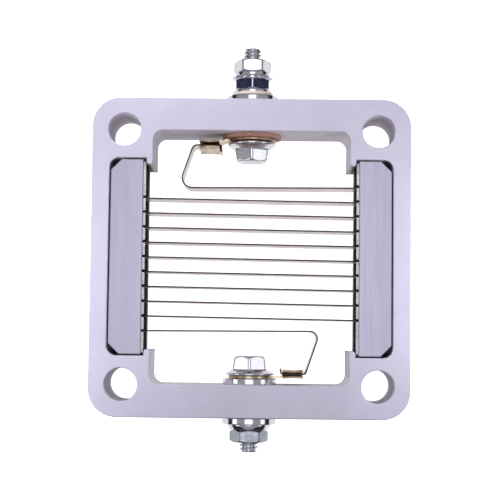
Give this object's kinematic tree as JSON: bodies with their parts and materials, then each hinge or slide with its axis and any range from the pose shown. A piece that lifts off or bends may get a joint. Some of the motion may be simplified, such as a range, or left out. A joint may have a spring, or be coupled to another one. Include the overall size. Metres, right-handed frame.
{
  "type": "intake air heater",
  "caption": "Square aluminium frame with bolt holes, holding a folded heating ribbon between sprung insulating combs, with a threaded power terminal and a threaded ground terminal.",
  "frame": {"origin": "middle of the part's bounding box in X and Y, on the back gasket face in Z; the bolt pattern's centre is 3.55 mm towards the ground terminal from it", "axes": "+Z from the back gasket face to the front face, +Y from the ground terminal to the power terminal, +X along the ribbon's runs"},
  "size_m": [0.1036, 0.1334, 0.0217],
  "materials": {
    "frame_aluminium": "satin, fine machined and tumbled",
    "holder_sheet": "satin plated sheet",
    "comb_ceramic": "matt black moulded ceramic",
    "liner_mica": "pale grey pressed mica sheet",
    "spring_steel": "bright spring steel",
    "ribbon_alloy": "oxidised resistance alloy strip",
    "zinc_plate": "bright zinc plate",
    "dark_plate": "dark blue passivated zinc plate",
    "brown_fibre": "red-brown pressed insulating fibre",
    "beige_fibre": "beige insulating washer",
    "lug_brass": "crimped brass, tarnished"
  },
  "bodies": {
    "heater": {"frame": "frame_aluminium", "heating_ribbon": "ribbon_alloy", "holder_left": "holder_sheet", "holder_right": "holder_sheet", "wave_spring_left": "spring_steel", "wave_spring_right": "spring_steel", "power_bolt": "zinc_plate", "power_cone_washer": "zinc_plate", "power_lug": "lug_brass", "power_inner_insulator": "brown_fibre", "power_sleeve": "brown_fibre", "power_wide_washer": "zinc_plate", "power_outer_insulator": "beige_fibre", "power_flat_washer": "zinc_plate", "power_fixing_nut": "dark_plate", "power_serrated_washer": "zinc_plate", "ground_bolt": "zinc_plate", "ground_cone_washer": "zinc_plate", "ground_lug": "lug_brass", "ground_inner_washer": "zinc_plate", "ground_wide_washer": "zinc_plate"},
    "left_insulator": {"comb_left": "comb_ceramic", "front_liner_left": "liner_mica", "rear_liner_left": "liner_mica"},
    "right_insulator": {"comb_right": "comb_ceramic", "front_liner_right": "liner_mica", "rear_liner_right": "liner_mica"},
    "power_washer": {"power_spring_washer": "zinc_plate"},
    "power_nut": {"power_cable_nut": "zinc_plate"},
    "ground_washer": {"ground_taper_washer": "zinc_plate"},
    "ground_nut": {"ground_nut": "zinc_plate"}
  },
  "joints": [
    {"name": "left_insulator_slide", "type": "slide", "parent": "heater", "child": "left_insulator", "axis": [-1, 0, 0], "range_m": [0, 0.0005], "stiffness_N_per_m": 4000, "springref_m": -0.001, "deforming": ["wave_spring_left"]},
    {"name": "right_insulator_slide", "type": "slide", "parent": "heater", "child": "right_insulator", "axis": [1, 0, 0], "range_m": [0, 0.0005], "stiffness_N_per_m": 4000, "springref_m": -0.001, "deforming": ["wave_spring_right"]},
    {"name": "power_washer_slide", "type": "slide", "parent": "heater", "child": "power_washer", "axis": [0, 1, 0], "range_m": [0, 0.00317]},
    {"name": "power_nut_turn", "type": "hinge", "parent": "power_washer", "child": "power_nut", "pos_m": [0, 0.0605, 0.01085], "axis": [0, 1, 0], "range_deg": [0, 900]},
    {"name": "ground_washer_slide", "type": "slide", "parent": "heater", "child": "ground_washer", "axis": [0, -1, 0], "range_m": [0, 0.00254]},
    {"name": "ground_nut_turn", "type": "hinge", "parent": "ground_washer", "child": "ground_nut", "pos_m": [0, -0.06145, 0.01085], "axis": [0, -1, 0], "range_deg": [0, 720]}
  ],
  "couplings": [
    {"joint": "power_nut_turn", "follows": "power_washer_slide", "rad_per_m": 4947.4},
    {"joint": "ground_nut_turn", "follows": "ground_washer_slide", "rad_per_m": 4947.4}
  ]
}
